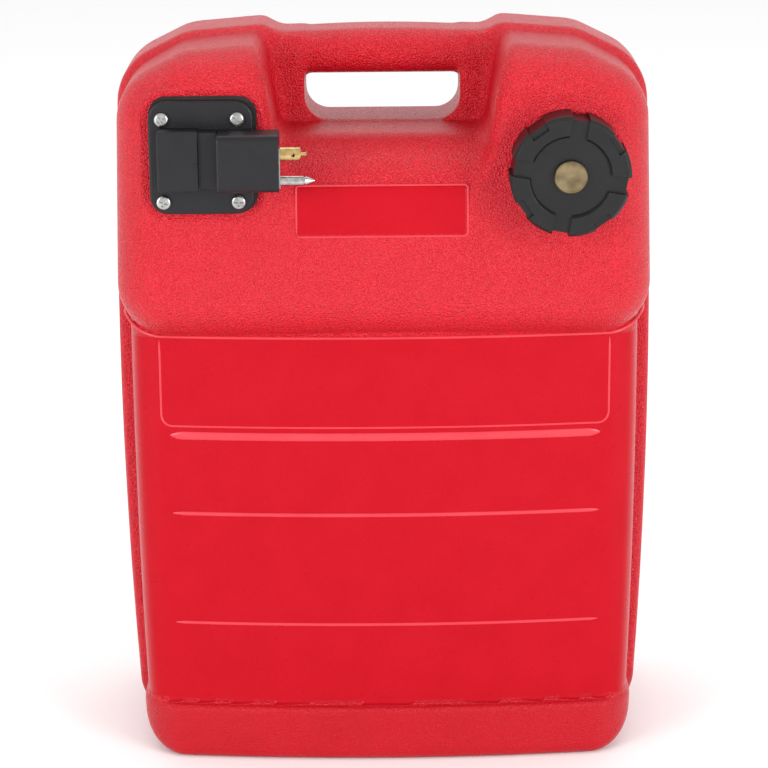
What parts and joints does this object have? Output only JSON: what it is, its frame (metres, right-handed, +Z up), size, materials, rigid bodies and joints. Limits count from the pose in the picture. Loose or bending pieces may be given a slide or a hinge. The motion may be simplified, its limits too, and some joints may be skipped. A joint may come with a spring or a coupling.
{
  "type": "outboard fuel tank",
  "caption": "Portable red outboard fuel tank with a hand slot, a threaded filler cap with vent screw, and a fuel outlet with quick-connect pins.",
  "frame": {"origin": "centre of the base on the floor, in the mould's parting plane", "axes": "+Z up the tank as it stands, -Y out of the front with the filler cap, +X to the right seen from the front"},
  "size_m": [0.3466, 0.225, 0.4761],
  "materials": {
    "red_plastic": "grained and satin moulded polyethylene",
    "black_plastic": "fine satin moulded nylon",
    "pale_plastic": "plain moulded",
    "rubber": "matt",
    "brass": "turned",
    "zinc_steel": "bright plated"
  },
  "bodies": {
    "tank": {"tank_shell": "red_plastic", "outlet_gasket": "rubber", "outlet_plate": "black_plastic", "outlet_screws": "zinc_steel", "seat_inserts": "brass", "connector_housing": "black_plastic", "fuel_nipple": "brass", "valve_seal": "rubber", "valve_spring": "zinc_steel", "guide_pin": "zinc_steel", "connector_plate": "zinc_steel", "pickup_tube": "pale_plastic", "pickup_strainer": "pale_plastic"},
    "cap_seal_body": {"cap_gasket": "rubber"},
    "cap": {"cap_body": "black_plastic", "vent_insert": "brass"},
    "vent_washer": {"vent_seal": "rubber"},
    "vent": {"vent_screw": "brass"},
    "poppet": {"valve_pin": "zinc_steel"}
  },
  "joints": [
    {"name": "cap_rise", "type": "slide", "parent": "tank", "child": "cap_seal_body", "axis": [0, -1, 0], "range_m": [0, 0.0121]},
    {"name": "cap_turn", "type": "hinge", "parent": "cap_seal_body", "child": "cap", "pos_m": [0.1137, -0.1, 0.3974], "axis": [0, -1, 0], "range_deg": [0, 720]},
    {"name": "vent_rise", "type": "slide", "parent": "cap", "child": "vent_washer", "axis": [0, -1, 0], "range_m": [0, 0.0021]},
    {"name": "vent_turn", "type": "hinge", "parent": "vent_washer", "child": "vent", "pos_m": [0.1137, -0.1, 0.3974], "axis": [0, -1, 0], "range_deg": [0, 720]},
    {"name": "valve_press", "type": "slide", "parent": "tank", "child": "poppet", "axis": [-1, 0, 0], "range_m": [0, 0.003], "stiffness_N_per_m": 900, "springref_m": -0.002, "deforming": ["valve_spring"]}
  ],
  "couplings": [
    {"joint": "cap_rise", "follows": "cap_turn", "m_per_rad": 0.00095493},
    {"joint": "vent_rise", "follows": "vent_turn", "m_per_rad": 0.00015915}
  ]
}
